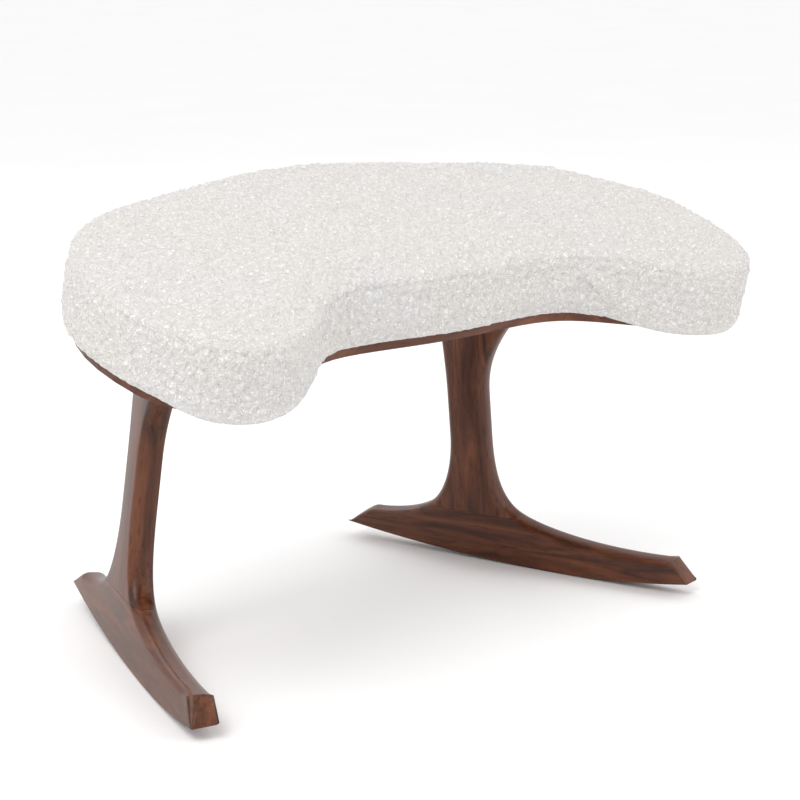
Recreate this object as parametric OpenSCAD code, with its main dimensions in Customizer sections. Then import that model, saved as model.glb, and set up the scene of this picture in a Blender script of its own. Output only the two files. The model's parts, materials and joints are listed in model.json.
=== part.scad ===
// Rocking stool with a bean-shaped, sloping upholstered seat. Two leaning walnut legs, each a
// post glued on a long runner, fan outwards to the front. The runners' soles are curved, more
// tightly ahead of the balance line than behind it, so the whole stool rocks on the floor.
// X runs across the stool, -Y is the scooped front, Z is up, and Z = 0 is the floor.

/* [Seat outline] */
// Width across the two horns
seat_w = 700; // [580:10:840]
// Depth from the horn tips to the middle of the back, along the slope
seat_d = 354; // [300:2:425]
// Depth of the front scoop, as a share of the seat depth
scoop = 0.21; // [0.12:0.01:0.25]
// Fall of the seat towards the front, in degrees
seat_slope = 14; // [8:0.5:17]
// Height of the cover's lower edge, above the middle of the runners
seat_edge_h = 348; // [300:2:400]
// Reach of the horn tips ahead of the middle of the runners, along the slope
seat_reach = 257; // [235:1:275]

/* [Seat build] */
// Thickness of the whole pad, from the cover's lower edge to its top
pad_h = 70; // [60:1:90]
// Thickness of the plywood board
board_t = 12; // [9:1:18]
// Thickness of the firm foam on the board
base_foam_t = 30; // [20:1:36]
// Thickness of the bouclé cover, backing and pile together
cover_t = 4; // [3:0.5:6]
// Thickness of the polyester wrap under the cover
wrap_t = 4; // [3:0.5:8]
// Thickness of the folded hem under the board
hem_t = 2; // [1.5:0.5:3]
// Width of the folded hem
hem_w = 26; // [16:1:34]
// Depth of the wooden shell's belly below the cover's lower edge
belly = 14; // [12:1:20]
// Radius of the belly from front to back
belly_r = 1050; // [1000:10:1800]
// Radius of the belly from side to side
belly_side_r = 9600; // [9000:100:15000]
// Step in from the cover to the edge of the wooden shell
shell_inset = 10; // [6:1:14]

/* [Legs] */
// Distance between the two runners' middles
leg_spread = 477; // [420:1:540]
// Turn of each leg outwards to the front, in degrees
leg_fan = 18; // [10:0.5:24]
// Lean of each leg inwards, in degrees
leg_lean = 7.6; // [4:0.1:10]
// Thickness of the posts
post_t = 25; // [22:1:32]
// Thickness of the runners
runner_t = 25; // [22:1:32]
// Length of a runner behind its middle
runner_back = 200; // [160:1:240]
// Length of a runner ahead of its middle
runner_front = 205; // [170:1:240]
// Height of the glued joint between post and runner
joint_h = 55; // [50:1:66]
// Width of a post at its waist
waist_w = 45; // [36:1:56]
// Distance of a post's middle behind the runner's middle
post_back = 43.5; // [30:0.5:56]
// Radius of the runners' underside behind the balance line
rock_r_back = 1600; // [1200:10:2200]
// Radius of the runners' underside ahead of the balance line
rock_r_front = 850; // [700:10:1300]
// Lowest line of the runners, ahead of their middle
balance_fwd = 48; // [30:1:66]

/* [Fasteners] */
// Thread size of the leg bolts
bolt_d = 8; // [6:1:8]
// Length of a leg bolt under its head
bolt_l = 32; // [28:1:40]
// Outer diameter of a threaded insert
insert_d = 12; // [11:1:13]
// Length of a threaded insert
insert_l = 25; // [20:1:28]
// Diameter of a joint dowel
dowel_d = 10; // [8:1:12]
// Length of a joint dowel
dowel_l = 54; // [40:1:60]
// Number of staples along the hem
staple_count = 34; // [20:2:48]

/* [Hidden] */
$fn = 64;
fine = 900;
big = 1000;

// Levels above the cover's lower edge, square to the seat
board_z = hem_t;
foam_z = board_z + board_t;
soft_z = foam_z + base_foam_t;
wrap_z = pad_h - cover_t - wrap_t;
top_z = pad_h - cover_t;
pad_in = cover_t + wrap_t;
curve_steps = 6;

// Fasteners
bolt_clear = 0.6;
washer_d = 20;
washer_t = 1.6;
bolt_head_d = 13;
bolt_head_h = 5;
well_d = washer_d + 2;
well_h = washer_t + bolt_head_h + 0.4;
bore_bottom = 2;
bolt_spots = [-52, 12];
dowel_spots = [-17, 17];
dowel_share = 0.5;
screw_d = 4;
screw_head_d = 8;
screw_head_h = 3;
screw_bite = 6;
screw_spots = [[0.22, 0.36], [0.22, 0.72], [0.7, 0.3], [0.7, 0.58]];
staple_w = 10;
staple_wire = 1.2;
staple_leg = 7;
staple_gap = 3;
pocket_gap = 0.2;

// Walnut, cover and metal colours
walnut = "#4a2a1c";
boucle = "#efedea";
ply = "#c9a56f";
foam = "#e6dcaa";
steel = "#b9bcc0";
brass_tone = "#c8a24a";
birch = "#d9bb86";

// ---- Curves ----
function bezier(a, b, c, d, n = 10) = [for (i = [0 : n]) let (t = i / n, u = 1 - t)
    u * u * u * a + 3 * u * u * t * b + 3 * u * t * t * c + t * t * t * d];

// One point of a closed uniform cubic B-spline, t past control point i
function spline_at(net, i, t) = let (n = len(net))
    (pow(1 - t, 3) * net[i % n]
    + (3 * pow(t, 3) - 6 * t * t + 4) * net[(i + 1) % n]
    + (-3 * pow(t, 3) + 3 * t * t + 3 * t + 1) * net[(i + 2) % n]
    + pow(t, 3) * net[(i + 3) % n]) / 6;
function spline(net, n) = [for (i = [0 : len(net) - 1], k = [0 : n - 1]) spline_at(net, i, k / n)];

// Moves every point of a closed anticlockwise outline inwards by d
function inset(pts, d) = let (n = len(pts)) [for (i = [0 : n - 1])
    let (run = pts[(i + 1) % n] - pts[(i + n - 1) % n])
    pts[i] + d * [-run[1], run[0]] / norm(run)];

// ---- Seat outline, in the plane of the seat ----
// Right half of the control net, from the scoop round the horn to the back: shares of the half
// width, and of the depth behind the horn tips
half_net = [[0, scoop], [0.37, scoop * 1.22], [0.5, scoop * 0.86], [0.68, 0], [0.96, 0],
    [1.07, 0.49], [0.8, 0.81], [0.45, 0.87], [0, 1]];
last = len(half_net) - 1;
full_net = concat(half_net, [for (i = [1 : last - 1]) [-half_net[last - i][0], half_net[last - i][1]]]);
raw = spline(full_net, curve_steps);
raw_w = max([for (p = raw) p[0]]);
raw_front = min([for (p = raw) p[1]]);
raw_back = max([for (p = raw) p[1]]);
outline = [for (p = raw) [p[0] / raw_w * seat_w / 2,
    (p[1] - raw_front) / (raw_back - raw_front) * seat_d - seat_reach]];
belly_y = seat_d * 0.53 - seat_reach;

// ---- Frames ----
// Extremes from front to back, which centre the stool on the origin
front_y = -seat_reach * cos(seat_slope) - pad_h * sin(seat_slope);
back_y = runner_back * cos(leg_fan) + runner_t / 2 * cos(leg_lean) * sin(leg_fan);
centre_y = -(front_y + back_y) / 2;

module on_seat() {
    translate([0, centre_y, seat_edge_h])
        rotate([seat_slope, 0, 0]) children();
}

// Right leg's own plane: first axis forwards along the runner, second up the post
module on_leg() {
    translate([leg_spread / 2, centre_y, 0])
        rotate([0, 0, leg_fan - 90]) rotate([leg_lean, 0, 0]) rotate([90, 0, 0]) children();
}

// Height in the leg's plane at which it meets the underside of the board, at s along the runner
function head_t(s) = (seat_edge_h * cos(seat_slope) - s * cos(leg_fan) * sin(seat_slope)
    + board_z) / (cos(leg_lean) * cos(seat_slope) + sin(leg_lean) * sin(leg_fan) * sin(seat_slope));

// The same place in the plane of the seat
function leg_x(s, t) = leg_spread / 2 + s * sin(leg_fan) - t * sin(leg_lean) * cos(leg_fan);
function leg_y(s, t) = -s * cos(leg_fan) - t * sin(leg_lean) * sin(leg_fan);
function head_spot(s) = let (t = head_t(s), y = leg_y(s, t), z = t * cos(leg_lean) - seat_edge_h)
    [leg_x(s, t), y * cos(seat_slope) + z * sin(seat_slope), 0];

// Ends of the slot around a post's head, along the runner
slot_back = -post_back - waist_w / 2 - 14;
slot_front = -post_back + waist_w / 2 + 90;

// Distance from p to the straight line between a and b
function line_gap(p, a, b) = let (u = (p - a) * (b - a) / ((b - a) * (b - a)))
    norm(p - a - max(0, min(1, u)) * (b - a));

// The staples keep clear of the posts' heads
staple_path = inset(outline, pad_in + (hem_w - cover_t) / 2);
staple_clear = (post_t + staple_w) / 2 + staple_gap;
staple_points = [for (i = [0 : len(staple_path) - 1])
    let (p = [abs(staple_path[i][0]), staple_path[i][1], 0])
    if (line_gap(p, head_spot(slot_back), head_spot(slot_front)) > staple_clear) i];

// ---- Seat parts ----
module slab(d, z0, z1) {
    translate([0, 0, z0])
        linear_extrude(z1 - z0) polygon(inset(outline, d));
}

module ring(d0, d1, z0, z1) {
    difference() {
        slab(d0, z0, z1);
        slab(d1, z0 - 1, z1 + 1);
    }
}

module staple_set() {
    n = len(staple_path);
    spots = len(staple_points);
    for (k = [0 : staple_count - 1]) {
        i = staple_points[round((k + 0.5) * spots / staple_count) % spots];
        run = staple_path[(i + 1) % n] - staple_path[(i + n - 1) % n];
        translate([staple_path[i][0], staple_path[i][1], 0])
            rotate([0, 0, atan2(run[1], run[0])]) {
            translate([-staple_w / 2, -staple_wire / 2, 0])
                cube([staple_w, staple_wire, staple_wire]);
            for (side = [-1, 1])
                translate([side * (staple_w - staple_wire) / 2 - staple_wire / 2,
                    -staple_wire / 2, staple_wire])
                    cube([staple_wire, staple_wire, staple_leg]);
        }
    }
}

module screw_places() {
    for (side = [-1, 1], spot = screw_spots)
        translate([side * spot[0] * seat_w / 2, spot[1] * seat_d - seat_reach, foam_z]) children();
}

// Driven from above, through the board into the shell
module screw_solid() {
    translate([0, 0, -screw_head_h]) cylinder(d = screw_head_d, h = screw_head_h);
    translate([0, 0, -board_t - screw_bite])
        cylinder(d = screw_d, h = board_t + screw_bite - screw_head_h);
}

module bolt_places() {
    for (s = bolt_spots) translate(head_spot(s)) children();
}

module board_solid() {
    difference() {
        slab(pad_in, board_z, foam_z);
        for (flip = [0, 1]) mirror([flip, 0, 0]) bolt_places() {
            translate([0, 0, board_z - 1]) cylinder(d = bolt_d + bolt_clear, h = board_t + 2);
            translate([0, 0, foam_z - well_h]) cylinder(d = well_d, h = well_h + 1);
        }
        screw_places() screw_solid();
        staple_set();
    }
}

// Block over a shallow parabolic arch, whose lowest line is at the bottom of the belly
module arch(r, span) {
    linear_extrude(big, center = true) polygon(concat(
        [[span / 2, pad_h], [-span / 2, pad_h]],
        [for (i = [-12 : 12]) let (u = i * span / 24) [u, -belly + u * u / (2 * r)]]));
}

module shell_blank() {
    intersection() {
        union() {
            slab(shell_inset, -belly - 1, 0);
            slab(hem_w + cover_t, -1, board_z);
        }
        translate([0, belly_y, 0]) rotate([90, 0, 90]) arch(belly_r, seat_d + 20);
        rotate([90, 0, 0]) arch(belly_side_r, seat_w + 20);
    }
}

module seat_board() {
    color(ply) on_seat() board_solid();
}

// Straight-sided slot around a post's head
module post_pocket() {
    on_leg() linear_extrude(post_t + 2 * pocket_gap, center = true)
        polygon([[slot_back, head_t(slot_back) - 60], [slot_back, head_t(slot_back) + 60],
            [slot_front, head_t(slot_front) + 60], [slot_front, head_t(slot_front) - 60]]);
}

// The part of that slot below the board
module post_notch() {
    intersection() {
        post_pocket();
        on_seat() translate([-big / 2, -big / 2, board_z - big]) cube([big, big, big]);
    }
}

module underside_shell() {
    color(walnut) difference() {
        on_seat() shell_blank();
        post_pocket();
        left() post_pocket();
        on_seat() screw_places() screw_solid();
    }
}

module shell_screws() {
    color(steel) on_seat() screw_places() screw_solid();
}

module base_foam() {
    color(foam) on_seat() slab(pad_in, foam_z, soft_z);
}

module top_foam() {
    color(foam) on_seat() slab(pad_in, soft_z, wrap_z);
}

module fibre_wrap() {
    color("white") on_seat() union() {
        slab(cover_t, wrap_z, top_z);
        ring(cover_t, pad_in, board_z, wrap_z);
    }
}

module cover_top() {
    color(boucle) on_seat() slab(0, top_z, pad_h);
}

// The side strip is sewn at the inner corner of each horn
module front_reach() {
    seam_x = 0.5 * seat_w / 2;
    translate([-seam_x, -seat_reach - 1, -1]) cube([2 * seam_x, seat_d * 0.6, pad_h + 2]);
}

module cover_front_band() {
    color(boucle) on_seat() intersection() {
        ring(0, cover_t, 0, top_z);
        front_reach();
    }
}

module cover_rear_band() {
    color(boucle) difference() {
        on_seat() ring(0, cover_t, 0, top_z);
        on_seat() front_reach();
        post_notch();
        left() post_notch();
    }
}

module cover_hem() {
    color(boucle) difference() {
        on_seat() ring(cover_t, hem_w + cover_t, 0, hem_t);
        on_seat() staple_set();
        post_pocket();
        left() post_pocket();
    }
}

module cover_staples() {
    color(steel) on_seat() staple_set();
}

// ---- Leg parts ----
// Post seen from its side, widening by curves to the runner below and to the seat above
module post_outline(grow = 0) {
    back = -post_back - waist_w / 2 - grow;
    front = -post_back + waist_w / 2 + grow;
    above = head_t(back) + 30;
    polygon(concat(
        bezier([back - 33, joint_h], [back - 14, joint_h + 11], [back, joint_h + 45],
            [back, joint_h + 85]),
        bezier([back, joint_h + 130], [back, joint_h + 180], [back - 8, joint_h + 240],
            [back - 12, above]),
        bezier([front + 88, above], [front + 50, head_t(front) - 50],
            [front, joint_h + 190], [front, joint_h + 132]),
        bezier([front, joint_h + 85], [front, joint_h + 40], [front + 7, joint_h + 11],
            [front + 32, joint_h])));
}

// Runner seen from its side: a raised middle that carries the post, and a bevelled back end
module runner_outline() {
    back = -post_back - waist_w / 2 - 33;
    front = -post_back + waist_w / 2 + 32;
    polygon(concat(
        [[-runner_back, -5], [runner_front, -5], [runner_front, 13]],
        bezier([runner_front - 15, 39], [runner_front - 105, 32], [front + 24, joint_h - 11],
            [front, joint_h]),
        bezier([back, joint_h], [back - 13, joint_h - 8], [back - 36, 39],
            [26 - runner_back, 35]),
        [[-runner_back, 17]]));
}

module dowel_set() {
    for (s = dowel_spots)
        translate([s - post_back, joint_h - dowel_l * dowel_share, 0]) rotate([-90, 0, 0])
            cylinder(d = dowel_d, h = dowel_l);
}

module post_solid() {
    difference() {
        on_leg() linear_extrude(post_t, center = true) post_outline();
        on_seat() translate([-big / 2, -big / 2, board_z]) cube([big, big, big]);
        on_seat() bolt_places() translate([0, 0, board_z - insert_l - bore_bottom])
            cylinder(d = insert_d, h = insert_l + bore_bottom + 1);
        on_leg() dowel_set();
    }
}

// Half of the space above the curved underside, from start to start + big along Y
module rocker_half(r, start) {
    intersection() {
        translate([0, 0, r]) rotate([0, 90, 0]) cylinder(r = r, h = big, center = true, $fn = fine);
        translate([-big / 2, start, 0]) cube([big, big, big]);
    }
}

module runner_solid() {
    difference() {
        intersection() {
            on_leg() linear_extrude(runner_t, center = true) runner_outline();
            translate([0, centre_y - balance_fwd, 0]) {
                rocker_half(rock_r_back, 0);
                rocker_half(rock_r_front, -big);
            }
        }
        on_leg() dowel_set();
    }
}

module bolt_solids() {
    seat_of_washer = foam_z - well_h + washer_t;
    on_seat() bolt_places() translate([0, 0, seat_of_washer]) {
        cylinder(d = bolt_head_d, h = bolt_head_h);
        translate([0, 0, -bolt_l]) cylinder(d = bolt_d, h = bolt_l);
    }
}

module washer_solids() {
    on_seat() bolt_places() translate([0, 0, foam_z - well_h]) difference() {
        cylinder(d = washer_d, h = washer_t);
        translate([0, 0, -1]) cylinder(d = bolt_d, h = washer_t + 2);
    }
}

module insert_solids() {
    on_seat() bolt_places() translate([0, 0, board_z - insert_l]) difference() {
        cylinder(d = insert_d, h = insert_l);
        translate([0, 0, -1]) cylinder(d = bolt_d, h = insert_l + 2);
    }
}

module left() {
    mirror([1, 0, 0]) children();
}

module left_post() {
    color(walnut) left() post_solid();
}

module right_post() {
    color(walnut) post_solid();
}

module left_runner() {
    color(walnut) left() runner_solid();
}

module right_runner() {
    color(walnut) runner_solid();
}

module left_dowels() {
    color(birch) left() on_leg() dowel_set();
}

module right_dowels() {
    color(birch) on_leg() dowel_set();
}

module left_leg_bolts() {
    color(steel) left() bolt_solids();
}

module right_leg_bolts() {
    color(steel) bolt_solids();
}

module left_washers() {
    color(steel) left() washer_solids();
}

module right_washers() {
    color(steel) washer_solids();
}

module left_inserts() {
    color(brass_tone) left() insert_solids();
}

module right_inserts() {
    color(brass_tone) insert_solids();
}

seat_board();
underside_shell();
shell_screws();
base_foam();
top_foam();
fibre_wrap();
cover_top();
cover_front_band();
cover_rear_band();
cover_hem();
cover_staples();
left_post();
right_post();
left_runner();
right_runner();
left_dowels();
right_dowels();
left_leg_bolts();
right_leg_bolts();
left_washers();
right_washers();
left_inserts();
right_inserts();
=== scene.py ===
"""Rocking stool: bean-shaped white bouclé seat on two sculpted walnut legs."""
import json
import math

import bmesh
import bpy
from mathutils import Matrix, Vector, kdtree, noise

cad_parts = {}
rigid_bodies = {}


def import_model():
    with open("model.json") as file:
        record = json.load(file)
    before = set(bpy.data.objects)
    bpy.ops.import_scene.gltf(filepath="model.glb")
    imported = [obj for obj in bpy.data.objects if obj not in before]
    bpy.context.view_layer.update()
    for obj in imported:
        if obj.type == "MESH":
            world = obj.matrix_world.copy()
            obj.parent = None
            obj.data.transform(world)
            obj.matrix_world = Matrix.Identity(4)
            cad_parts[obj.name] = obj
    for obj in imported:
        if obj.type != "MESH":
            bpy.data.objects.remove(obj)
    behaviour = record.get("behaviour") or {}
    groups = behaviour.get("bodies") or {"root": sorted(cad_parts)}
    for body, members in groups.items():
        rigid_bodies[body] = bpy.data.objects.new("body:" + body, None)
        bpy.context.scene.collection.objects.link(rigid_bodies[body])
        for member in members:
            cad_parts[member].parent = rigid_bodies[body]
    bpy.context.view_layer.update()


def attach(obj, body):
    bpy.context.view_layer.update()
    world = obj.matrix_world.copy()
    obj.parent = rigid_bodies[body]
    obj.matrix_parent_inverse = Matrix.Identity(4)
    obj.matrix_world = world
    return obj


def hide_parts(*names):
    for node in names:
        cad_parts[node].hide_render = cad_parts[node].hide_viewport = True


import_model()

# ---- Driving sizes, in metres, the same as the construction's ----
SEAT_W = 0.700
SEAT_D = 0.354
SCOOP = 0.21
SEAT_SLOPE = math.radians(14)
SEAT_EDGE_H = 0.348
SEAT_REACH = 0.257
PAD_H = 0.070
LEG_SPREAD = 0.477
LEG_FAN = math.radians(18)
LEG_LEAN = math.radians(7.6)
LEG_T = 0.025
RUNNER_BACK = 0.200
RUNNER_FRONT = 0.205
JOINT_H = 0.055
WAIST_W = 0.045
POST_BACK = 0.0435
ROCK_R_BACK = 1.600
ROCK_R_FRONT = 0.850
BALANCE_FWD = 0.048
BOARD_Z = 0.002

# ---- Looks ----
PAD_INSET = 0.0003         # how far the pad starts inside its final outline
PAD_CROWN = 0.007          # rise of the seat's middle over its edge
PAD_LOW_ROUND = 0.010      # radius of the pad's lower edge
HORN_SAG = 0.007           # how far the cover hangs lower under the horn tips
WRAP_DEPTH = 0.0035        # thickness of the cover over its wadding
PAD_ROUND = 0.016          # radius of the pad's top edge
VOXEL = 0.005              # grid of the remeshed pad
SWELL_CAP = 0.005          # how far the simulated fabric may move
CURL_SIZE = 0.0050         # spacing of the pile's curls
CURL_HEIGHT = 0.0019       # how far the curls stand up
HELD_H = 0.006             # height of the pad's underside that the board holds
TOP_ROOM = 0.003           # how far the pad starts below its final top
SWELL_STEPS = 20
SEAM_DROP = 0.013          # depth of the top seam below the pad's top
SEAM_BAND = 0.012          # how far in from the edge the seams are pressed
SEAM_DEPTH = 0.0012
FRONT_BAND_Y = -0.09       # the front strip's seams lie ahead of this
TOP_ROUND = 0.0108         # rounding of the legs' upper arrises
LOW_ROUND = 0.0025         # rounding of the runners' lower arrises and ends
JOINT_GAP = 0.00012        # the fine line between post and runner

FRONT_Y = -SEAT_REACH * math.cos(SEAT_SLOPE) - PAD_H * math.sin(SEAT_SLOPE)
BACK_Y = RUNNER_BACK * math.cos(LEG_FAN) + LEG_T / 2 * math.cos(LEG_LEAN) * math.sin(LEG_FAN)
CENTRE_Y = -(FRONT_Y + BACK_Y) / 2
SEAT = Matrix.Translation((0, CENTRE_Y, SEAT_EDGE_H)) @ Matrix.Rotation(SEAT_SLOPE, 4, "X")
LEG = (Matrix.Translation((LEG_SPREAD / 2, CENTRE_Y, 0))
       @ Matrix.Rotation(LEG_FAN - math.pi / 2, 4, "Z")
       @ Matrix.Rotation(LEG_LEAN, 4, "X") @ Matrix.Rotation(math.pi / 2, 4, "X"))


# ---- Camera ----
def make_camera():
    data = bpy.data.cameras.new("camera")
    data.sensor_width = 36
    data.lens = 99.6
    data.clip_end = 50
    camera = bpy.data.objects.new("camera", data)
    bpy.context.collection.objects.link(camera)
    camera.location = (-1.3002, CENTRE_Y - 1.6367, 0.7178)
    heading = Vector((0.62657, 0.74323, -0.23455))
    camera.rotation_euler = heading.to_track_quat("-Z", "Y").to_euler()
    bpy.context.scene.camera = camera


# ---- Shader helpers ----
def new_material(name):
    mat = bpy.data.materials.new(name)
    mat.use_nodes = True
    tree = mat.node_tree
    return mat, tree, tree.nodes["Principled BSDF"]


def node(tree, kind, inputs=None, **settings):
    made = tree.nodes.new(kind)
    for key, value in settings.items():
        setattr(made, key, value)
    for key, value in (inputs or {}).items():
        if isinstance(value, bpy.types.NodeSocket):
            tree.links.new(value, made.inputs[key])
        else:
            made.inputs[key].default_value = value
    return made


def ramp(tree, factor, stops):
    made = node(tree, "ShaderNodeValToRGB", {"Fac": factor})
    while len(made.color_ramp.elements) < len(stops):
        made.color_ramp.elements.new(0.5)
    for element, (place, colour) in zip(made.color_ramp.elements, stops):
        element.position = place
        element.color = (*colour, 1)
    return made.outputs["Color"]


def mix(tree, factor, a, b, blend="MIX"):
    made = node(tree, "ShaderNodeMix", data_type="RGBA", blend_type=blend)
    for index, value in ((0, factor), (6, a), (7, b)):
        if isinstance(value, bpy.types.NodeSocket):
            tree.links.new(value, made.inputs[index])
        else:
            made.inputs[index].default_value = value if index == 0 else (*value, 1)
    return made.outputs[2]


def object_coords(tree, matrix=None, scale=(1, 1, 1)):
    coords = node(tree, "ShaderNodeTexCoord").outputs["Object"]
    turn = (matrix or Matrix()).to_3x3().inverted().to_euler()
    turned = node(tree, "ShaderNodeMapping", {"Vector": coords, "Rotation": turn})
    return node(tree, "ShaderNodeMapping",
                {"Vector": turned.outputs["Vector"], "Scale": scale}).outputs["Vector"]


def walnut(name, matrix=None, scale=(1, 1, 1), dark=(0.042, 0.0125, 0.0055),
           mid=(0.112, 0.0350, 0.0150), light=(0.195, 0.066, 0.029), rough=0.34):
    """Lacquered walnut whose grain runs along the axis that scale stretches least."""
    mat, tree, shader = new_material(name)
    coords = object_coords(tree, matrix, scale)
    bend = node(tree, "ShaderNodeTexNoise", {"Vector": coords, "Scale": 3.0, "Detail": 3.0})
    figure = node(tree, "ShaderNodeTexNoise",
                  {"Vector": coords, "Scale": 7.0, "Detail": 8.0, "Roughness": 0.62,
                   "Distortion": 1.1})
    pores = node(tree, "ShaderNodeTexNoise",
                 {"Vector": coords, "Scale": 46.0, "Detail": 4.0, "Roughness": 0.7})
    base = ramp(tree, figure.outputs["Fac"], [(0.30, dark), (0.50, mid), (0.72, light)])
    shade = ramp(tree, bend.outputs["Fac"], [(0.25, (0.62, 0.6, 0.58)), (0.75, (1.2, 1.16, 1.1))])
    toned = mix(tree, 1.0, base, shade, "MULTIPLY")
    pore_tone = ramp(tree, pores.outputs["Fac"], [(0.36, (0.42, 0.38, 0.36)), (0.47, (1, 1, 1))])
    tree.links.new(mix(tree, 0.75, toned, pore_tone, "MULTIPLY"), shader.inputs["Base Color"])
    roughness = node(tree, "ShaderNodeMapRange",
                     {"Value": figure.outputs["Fac"], "To Min": rough - 0.06, "To Max": rough + 0.1})
    tree.links.new(roughness.outputs["Result"], shader.inputs["Roughness"])
    bump = node(tree, "ShaderNodeBump",
                {"Height": pores.outputs["Fac"], "Strength": 0.12, "Distance": 0.0004})
    tree.links.new(bump.outputs["Normal"], shader.inputs["Normal"])
    shader.inputs["Specular IOR Level"].default_value = 0.25
    shader.inputs["Coat Weight"].default_value = 0.14
    shader.inputs["Coat Roughness"].default_value = 0.18
    return mat


def boucle(name):
    """White looped pile: small round curls, with soft shade painted into the colour between them."""
    mat, tree, shader = new_material(name)
    coords = object_coords(tree)
    warp = node(tree, "ShaderNodeTexNoise", {"Vector": coords, "Scale": 160.0, "Detail": 2.0})
    shifted = mix(tree, 0.010, coords, warp.outputs["Color"])
    loops = node(tree, "ShaderNodeTexVoronoi", {"Vector": shifted, "Scale": 300.0},
                 feature="F1")
    knots = node(tree, "ShaderNodeTexVoronoi", {"Vector": shifted, "Scale": 520.0},
                 feature="F1")
    fuzz = node(tree, "ShaderNodeTexNoise", {"Vector": coords, "Scale": 900.0, "Detail": 3.0})
    patch = node(tree, "ShaderNodeTexNoise", {"Vector": coords, "Scale": 9.0, "Detail": 2.0})
    height = node(tree, "ShaderNodeMath",
                  {0: loops.outputs["Distance"], 1: knots.outputs["Distance"]}, operation="ADD")
    # painted shade: the colour darkens between the curls, where the loops would shade each other
    painted_cavity_shade = ramp(tree, height.outputs[0],
                  [(0.40, (0.93, 0.925, 0.92)), (1.0, (0.66, 0.64, 0.62))])
    tint = ramp(tree, patch.outputs["Fac"],
                [(0.35, (0.985, 0.985, 1.0)), (0.65, (1.0, 0.985, 0.965))])
    tree.links.new(mix(tree, 1.0, painted_cavity_shade, tint, "MULTIPLY"), shader.inputs["Base Color"])
    fine = node(tree, "ShaderNodeBump",
                {"Height": fuzz.outputs["Fac"], "Strength": 0.35, "Distance": 0.0006})
    bump = node(tree, "ShaderNodeBump", {"Height": height.outputs[0], "Strength": 0.75,
                                         "Distance": 0.0016, "Normal": fine.outputs["Normal"]},
                invert=True)
    tree.links.new(bump.outputs["Normal"], shader.inputs["Normal"])
    shader.inputs["Roughness"].default_value = 0.95
    shader.inputs["Sheen Weight"].default_value = 0.35
    shader.inputs["Sheen Roughness"].default_value = 0.5
    shader.inputs["Specular IOR Level"].default_value = 0.15
    return mat


def speckled(name, low, high, scale, rough=0.8, metal=0.0, stretch=(1, 1, 1)):
    """A plain inner material with a fine mottled surface."""
    mat, tree, shader = new_material(name)
    coords = object_coords(tree, scale=stretch)
    grain = node(tree, "ShaderNodeTexNoise", {"Vector": coords, "Scale": scale, "Detail": 5.0})
    tree.links.new(ramp(tree, grain.outputs["Fac"], [(0.3, low), (0.7, high)]),
                   shader.inputs["Base Color"])
    bump = node(tree, "ShaderNodeBump",
                {"Height": grain.outputs["Fac"], "Strength": 0.25, "Distance": 0.0004})
    tree.links.new(bump.outputs["Normal"], shader.inputs["Normal"])
    shader.inputs["Roughness"].default_value = rough
    shader.inputs["Metallic"].default_value = metal
    return mat


# ---- Curves ----
def bezier(a, b, c, d, steps=24):
    points = []
    for i in range(steps + 1):
        t = i / steps
        u = 1 - t
        points.append(tuple(u**3 * p + 3 * u * u * t * q + 3 * u * t * t * r + t**3 * s
                            for p, q, r, s in zip(a, b, c, d)))
    return points


def spline(net, steps):
    """Closed uniform cubic B-spline through the frame of a control net."""
    points = []
    count = len(net)
    for i in range(count):
        for k in range(steps):
            t = k / steps
            weights = ((1 - t)**3, 3 * t**3 - 6 * t * t + 4, -3 * t**3 + 3 * t * t + 3 * t + 1, t**3)
            points.append(tuple(sum(w * net[(i + j) % count][axis] for j, w in enumerate(weights)) / 6
                                for axis in (0, 1)))
    return points


def seat_outline(steps):
    half = [(0, SCOOP), (0.37, SCOOP * 1.22), (0.5, SCOOP * 0.86), (0.68, 0), (0.96, 0),
            (1.07, 0.49), (0.8, 0.81), (0.45, 0.87), (0, 1)]
    raw = spline(half + [(-x, y) for x, y in reversed(half[1:-1])], steps)
    wide = max(x for x, y in raw)
    front = min(y for x, y in raw)
    back = max(y for x, y in raw)
    return [(x / wide * SEAT_W / 2, (y - front) / (back - front) * SEAT_D - SEAT_REACH)
            for x, y in raw]


def inset(points, depth):
    count = len(points)
    moved = []
    for i in range(count):
        run = (Vector(points[(i + 1) % count]) - Vector(points[i - 1])).normalized()
        moved.append((points[i][0] - run.y * depth, points[i][1] + run.x * depth))
    return moved


# ---- Mesh helpers ----
def add_object(name, bm, material):
    bmesh.ops.recalc_face_normals(bm, faces=bm.faces)
    mesh = bpy.data.meshes.new(name)
    bm.to_mesh(mesh)
    bm.free()
    obj = bpy.data.objects.new(name, mesh)
    bpy.context.collection.objects.link(obj)
    mesh.materials.append(material)
    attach(obj, "root")
    return obj


def apply_modifiers(obj):
    graph = bpy.context.evaluated_depsgraph_get()
    mesh = bpy.data.meshes.new_from_object(obj.evaluated_get(graph), depsgraph=graph)
    obj.modifiers.clear()
    obj.data = mesh


def smooth_shade(obj):
    obj.data.shade_smooth()


# ---- Seat ----
def pad_blank():
    """Straight-sided bean, a little inside the finished pad."""
    bm = bmesh.new()
    points = inset(seat_outline(14), PAD_INSET)
    low = [bm.verts.new((x, y, 0)) for x, y in points]
    high = [bm.verts.new((x, y, PAD_H - TOP_ROOM)) for x, y in points]
    count = len(points)
    for i in range(count):
        j = (i + 1) % count
        bm.faces.new((low[i], low[j], high[j], high[i]))
    bm.faces.new(high)
    bm.faces.new(list(reversed(low)))
    return bm


def edge_tree():
    points = seat_outline(60)
    tree = kdtree.KDTree(len(points))
    for i, (x, y) in enumerate(points):
        tree.insert((x, y, 0), i)
    tree.balance()
    return tree


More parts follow.
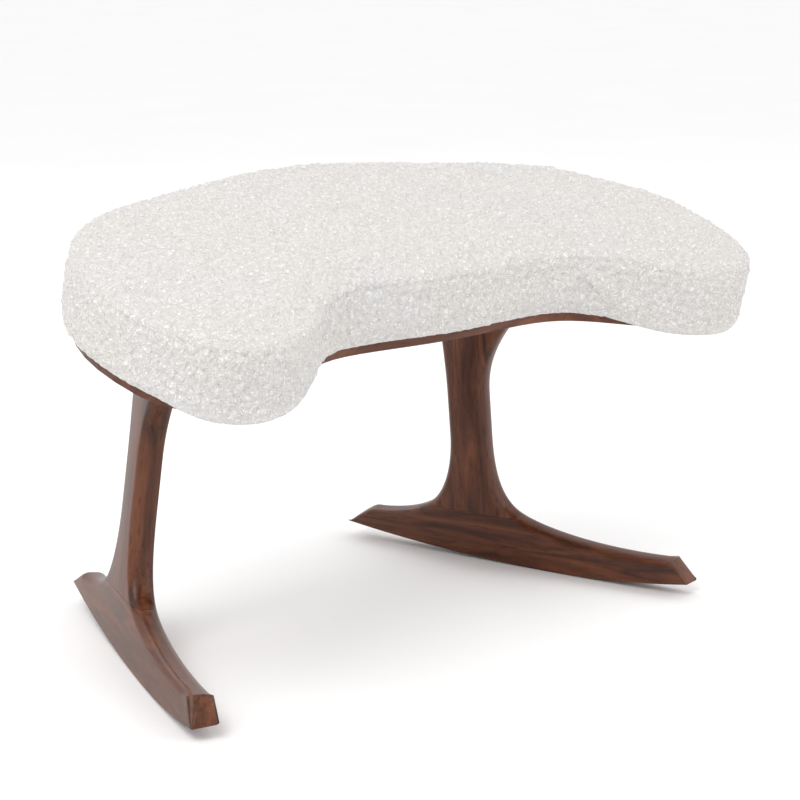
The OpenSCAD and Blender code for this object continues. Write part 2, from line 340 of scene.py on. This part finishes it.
def crown_pad(mesh, tree):
    """Rounds the pad's edges, lifts its middle and lets the horn tips hang lower."""
    for vert in mesh.vertices:
        depth = tree.find((vert.co.x, vert.co.y, 0))[2]
        share = max(0, vert.co.z / PAD_H)
        rise = PAD_CROWN * (1 - math.exp(-depth / 0.05))
        fall = 0
        if depth < PAD_ROUND + PAD_INSET:
            run = PAD_ROUND + PAD_INSET - depth
            fall = PAD_ROUND - math.sqrt(max(0, PAD_ROUND**2 - min(run, PAD_ROUND)**2))
        low_fall = 0
        if depth < PAD_LOW_ROUND + PAD_INSET:
            run = PAD_LOW_ROUND + PAD_INSET - depth
            low_fall = PAD_LOW_ROUND - math.sqrt(
                max(0, PAD_LOW_ROUND**2 - min(run, PAD_LOW_ROUND)**2))
        horn = max(0.0, min(1.0, (-vert.co.y - SEAT_REACH + 0.075) / 0.06))
        sag = HORN_SAG * horn * horn * (3 - 2 * horn)
        vert.co.z += share**4 * (rise - fall * 0.55) + (1 - share)**6 * low_fall * 0.6
        vert.co.z -= (1 - share) * sag


def swell(obj):
    """Lets pressure fill the pad out, with its underside held by the board."""
    rest = [vert.co.copy() for vert in obj.data.vertices]
    outward = [n.vector.copy() for n in obj.data.vertex_normals]
    group = obj.vertex_groups.new(name="held")
    group.add([v.index for v in obj.data.vertices if v.co.z < HELD_H], 1.0, "REPLACE")
    cloth = obj.modifiers.new("cloth", "CLOTH")
    cloth.settings.vertex_group_mass = "held"
    cloth.settings.use_pressure = True
    cloth.settings.uniform_pressure_force = 5
    cloth.settings.effector_weights.gravity = 0
    cloth.settings.quality = 5
    cloth.settings.tension_stiffness = 15
    cloth.settings.compression_stiffness = 15
    cloth.settings.bending_stiffness = 0.5
    scene = bpy.context.scene
    for step in range(1, SWELL_STEPS + 1):
        scene.frame_set(step)
    graph = bpy.context.evaluated_depsgraph_get()
    moved = [v.co.copy() for v in obj.evaluated_get(graph).data.vertices]
    obj.modifiers.remove(cloth)
    scene.frame_set(1)
    for vert, start, end, normal in zip(obj.data.vertices, rest, moved, outward):
        vert.co = start + normal * max(0.0, min(SWELL_CAP, (end - start).dot(normal)))


def curl(mesh, tree):
    """Raises the pile into small irregular curls and presses in the sewn seams."""
    seam_x = SEAT_W / 4
    normals = [n.vector.copy() for n in mesh.vertex_normals]
    for vert, normal in zip(mesh.vertices, normals):
        spot = vert.co / CURL_SIZE
        bumps = noise.noise(spot) + 0.6 * noise.noise(spot * 2.1 + Vector((7, 3, 5)))
        soft = noise.noise(vert.co / 0.035) * 0.0008
        depth = tree.find((vert.co.x, vert.co.y, 0))[2]
        low = max(0.0, min(1.0, vert.co.z / HELD_H))
        near_edge = 1 if depth < SEAM_BAND else 0
        sewn = math.exp(-((vert.co.z - (PAD_H - SEAM_DROP)) / 0.0022)**2) * near_edge
        if vert.co.y < FRONT_BAND_Y and depth < SEAM_BAND:
            sewn += math.exp(-((abs(vert.co.x) - seam_x) / 0.0024)**2)
        vert.co += normal * ((bumps * CURL_HEIGHT + soft) * low - SEAM_DEPTH * min(sewn, 1))


def make_wadding(pad):
    """The polyester wrap: the pad's own form, one cover's thickness further in."""
    mesh = pad.data.copy()
    normals = [n.vector.copy() for n in mesh.vertex_normals]
    for vert, normal in zip(mesh.vertices, normals):
        vert.co -= normal * WRAP_DEPTH
    mesh.transform(SEAT)
    mesh.materials.clear()
    mesh.materials.append(speckled("wadding", (0.78, 0.78, 0.76), (0.9, 0.9, 0.88), 300, 0.95))
    wrap = bpy.data.objects.new("wadding_wrap", mesh)
    bpy.context.collection.objects.link(wrap)
    smooth_shade(wrap)
    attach(wrap, "root")
    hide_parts("fibre_wrap")


def make_pad(material):
    tree = edge_tree()
    obj = add_object("seat_cover", pad_blank(), material)
    remesh = obj.modifiers.new("remesh", "REMESH")
    remesh.mode = "VOXEL"
    remesh.voxel_size = VOXEL
    apply_modifiers(obj)
    crown_pad(obj.data, tree)
    relax = obj.modifiers.new("relax", "SMOOTH")
    relax.factor = 0.5
    relax.iterations = 2
    apply_modifiers(obj)
    swell(obj)
    make_wadding(obj)
    finer = obj.modifiers.new("finer", "SUBSURF")
    finer.levels = 2
    finer.render_levels = 2
    apply_modifiers(obj)
    curl(obj.data, tree)
    obj.data.materials.clear()
    obj.data.materials.append(material)
    obj.data.transform(SEAT)
    smooth_shade(obj)
    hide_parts("cover_top", "cover_front_band", "cover_rear_band", "cover_hem")


# ---- Legs ----
def head_t(s):
    """Height in the leg's plane at which it meets the board."""
    rise = SEAT_EDGE_H * math.cos(SEAT_SLOPE) - s * math.cos(LEG_FAN) * math.sin(SEAT_SLOPE) + BOARD_Z
    return rise / (math.cos(LEG_LEAN) * math.cos(SEAT_SLOPE)
                   + math.sin(LEG_LEAN) * math.sin(LEG_FAN) * math.sin(SEAT_SLOPE))


def leg_outline():
    """Side profile of a whole leg, with the rounding of its arrises at each point."""
    back = -POST_BACK - WAIST_W / 2
    front = -POST_BACK + WAIST_W / 2
    j = JOINT_H
    steps = 28
    bottom = [(-RUNNER_BACK + (RUNNER_FRONT + RUNNER_BACK) * i / steps, -0.005)
              for i in range(steps + 1)]
    ahead = bezier((RUNNER_FRONT - 0.015, 0.037), (RUNNER_FRONT - 0.105, 0.031),
                   (front + 0.056, j - 0.011), (front + 0.032, j))
    up = bezier((front + 0.032, j), (front + 0.007, j + 0.011), (front, j + 0.040), (front, j + 0.085))
    flare = bezier((front, j + 0.132), (front, j + 0.190), (front + 0.046, j + 0.222),
                   (front + 0.086, head_t(front + 0.086) - 0.003))
    down = bezier((back - 0.012, head_t(back - 0.012) - 0.003), (back - 0.008, j + 0.240),
                  (back, j + 0.180), (back, j + 0.130))
    foot = bezier((back, j + 0.085), (back, j + 0.045), (back - 0.014, j + 0.011), (back - 0.033, j))
    tail = bezier((back - 0.033, j), (back - 0.046, j - 0.008), (back - 0.069, 0.039),
                  (0.030 - RUNNER_BACK, 0.037))
    tip = bezier((0.030 - RUNNER_BACK, 0.037), (0.024 - RUNNER_BACK, 0.0365),
                 (0.010 - RUNNER_BACK, 0.026), (-RUNNER_BACK, 0.0185), 6)
    marked = [(s, t, LOW_ROUND) for s, t in bottom]
    marked += [(s, t, TOP_ROUND) for s, t in ahead[:-1] + up + flare + down + foot[:-1] + tail[:-1]]
    marked += [(s, t, TOP_ROUND * (1 - (i + 1) / 7)**0.6) for i, (s, t) in enumerate(tip[:-1])]
    return marked


def onto_floor_curve(point):
    """Moves a point of the leg's plane up or down onto the curved sole."""
    s, t, w = point
    for _ in range(4):
        place = LEG @ Vector((s, t, w))
        off = place.y - (CENTRE_Y - BALANCE_FWD)
        radius = ROCK_R_BACK if off > 0 else ROCK_R_FRONT
        want = radius - math.sqrt(radius**2 - off * off)
        t += (want - place.z) / math.cos(LEG_LEAN)
    return Vector((s, t, w))


def leg_body():
    """Solid between two faces of a leg's side profile, its arrises rounded over."""
    marked = leg_outline()
    count = len(marked)
    turns = 7
    levels = ([(-1, k / turns) for k in range(turns, -1, -1)]
              + [(1, k / turns) for k in range(turns + 1)])
    bm = bmesh.new()
    rows = []
    for side, share in levels:
        angle = share * math.pi / 2
        row = []
        for i, (s, t, radius) in enumerate(marked):
            w = side * (LEG_T / 2 - radius * (1 - math.sin(angle)))
            before, after = marked[i - 1], marked[(i + 1) % count]
            run = Vector((after[0] - before[0], after[1] - before[1])).normalized()
            depth = radius * (1 - math.cos(angle)) * 0.75
            spot = Vector((s - run.y * depth, t + run.x * depth, w))
            if t < 0:
                spot = onto_floor_curve((s, t, w)) + Vector((0, depth, 0))
            row.append(bm.verts.new(spot))
        rows.append(row)
    for low, high in zip(rows, rows[1:]):
        for i in range(count):
            j = (i + 1) % count
            bm.faces.new((low[i], low[j], high[j], high[i]))
    bm.faces.new(rows[0])
    bm.faces.new(rows[-1])
    bmesh.ops.recalc_face_normals(bm, faces=bm.faces)
    return bm


def cut_at_joint(bm, keep_above):
    gap = JOINT_GAP if keep_above else -JOINT_GAP
    geometry = list(bm.verts) + list(bm.edges) + list(bm.faces)
    cut = bmesh.ops.bisect_plane(bm, geom=geometry, plane_co=(0, JOINT_H + gap, 0),
                                 plane_no=(0, 1, 0), clear_inner=keep_above,
                                 clear_outer=not keep_above)
    edges = [part for part in cut["geom_cut"] if isinstance(part, bmesh.types.BMEdge)]
    bmesh.ops.holes_fill(bm, edges=edges, sides=0)
    return bm


def make_leg(side):
    flip = Matrix.Scale(-1, 4, (1, 0, 0)) if side == "left" else Matrix()
    grain_frame = LEG if side == "right" else flip @ LEG @ Matrix.Scale(-1, 4, (0, 0, 1))
    post_wood = walnut(f"walnut_{side}_post", grain_frame, (9, 1, 9))
    runner_wood = walnut(f"walnut_{side}_runner", grain_frame, (1, 9, 9))
    end_wood = walnut(f"walnut_{side}_end", grain_frame, (5, 5, 5), (0.05, 0.02, 0.010),
                      (0.10, 0.042, 0.020), (0.16, 0.07, 0.034), 0.42)

    ahead = (flip @ LEG).to_3x3() @ Vector((1, 0, 0))
    for part, wood in (("post", post_wood), ("runner", runner_wood)):
        bm = cut_at_joint(leg_body(), part == "post")
        bmesh.ops.transform(bm, matrix=flip @ LEG, verts=bm.verts)
        obj = add_object(f"{side}_{part}_wood", bm, wood)
        obj.data.materials.append(end_wood)
        if part == "runner":
            for face in obj.data.polygons:
                if face.normal.dot(ahead) > 0.85:
                    face.material_index = 1
        smooth_shade(obj)
        obj.data.set_sharp_from_angle(angle=math.radians(34))
        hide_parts(f"{side}_{part}")


# ---- Pieces kept as built ----
def dress(name, material):
    for obj in bpy.data.objects:
        if obj.type == "MESH" and obj.name.split(".")[0] == name:
            obj.data.materials.clear()
            obj.data.materials.append(material)


# ---- Stage ----
def area_light(name, place, target, size, power, colour=(1, 1, 1)):
    data = bpy.data.lights.new(name, "AREA")
    data.size = size
    data.energy = power
    data.color = colour
    lamp = bpy.data.objects.new(name, data)
    bpy.context.collection.objects.link(lamp)
    lamp.location = place
    lamp.rotation_euler = (Vector(target) - Vector(place)).to_track_quat("-Z", "Y").to_euler()


def make_stage():
    bm = bmesh.new()
    bmesh.ops.create_grid(bm, x_segments=1, y_segments=1, size=12)
    mesh = bpy.data.meshes.new("floor")
    bm.to_mesh(mesh)
    bm.free()
    floor = bpy.data.objects.new("floor", mesh)
    bpy.context.collection.objects.link(floor)
    mat, tree, shader = new_material("paper_floor")
    grain = node(tree, "ShaderNodeTexNoise",
                 {"Vector": object_coords(tree), "Scale": 3.0, "Detail": 2.0})
    tree.links.new(ramp(tree, grain.outputs["Fac"],
                        [(0.3, (0.945, 0.945, 0.945)), (0.7, (0.96, 0.96, 0.96))]),
                   shader.inputs["Base Color"])
    shader.inputs["Roughness"].default_value = 0.9
    mesh.materials.append(mat)
    world = bpy.data.worlds.new("studio")
    bpy.context.scene.world = world
    world.use_nodes = True
    world.node_tree.nodes["Background"].inputs["Color"].default_value = (1, 1, 1, 1)
    world.node_tree.nodes["Background"].inputs["Strength"].default_value = 1.0
    area_light("key", (-1.6, -0.6, 2.2), (0, 0, 0.3), 1.4, 24, (1.0, 0.99, 0.98))
    area_light("fill", (1.6, -1.8, 1.3), (0, 0, 0.2), 1.8, 11)
    area_light("rim", (0.6, 2.2, 1.8), (0, 0, 0.3), 1.2, 8)
    bpy.context.scene.view_settings.view_transform = "Standard"


make_camera()
make_stage()
make_pad(boucle("boucle_white"))
for leg_side in ("left", "right"):
    make_leg(leg_side)
steel = speckled("zinc", (0.45, 0.46, 0.48), (0.62, 0.63, 0.65), 400, 0.35, 1.0)
dress("underside_shell", walnut("walnut_shell", None, (1, 8, 8)))
dress("seat_board", speckled("plywood", (0.50, 0.34, 0.18), (0.64, 0.46, 0.27), 30, 0.7,
                             stretch=(1, 12, 12)))
for soft in ("base_foam", "top_foam"):
    dress(soft, speckled("foam_" + soft, (0.70, 0.62, 0.35), (0.82, 0.75, 0.48), 700, 0.95))
for metal in ("cover_staples", "shell_screws"):
    dress(metal, steel)
for leg_side in ("left", "right"):
    dress(leg_side + "_leg_bolts", steel)
    dress(leg_side + "_washers", steel)
    dress(leg_side + "_inserts", speckled("brass_" + leg_side, (0.60, 0.42, 0.16),
                                          (0.74, 0.55, 0.24), 400, 0.35, 1.0))
    dress(leg_side + "_dowels", speckled("birch_" + leg_side, (0.56, 0.40, 0.22),
                                         (0.70, 0.53, 0.33), 60, 0.6, stretch=(9, 9, 1)))
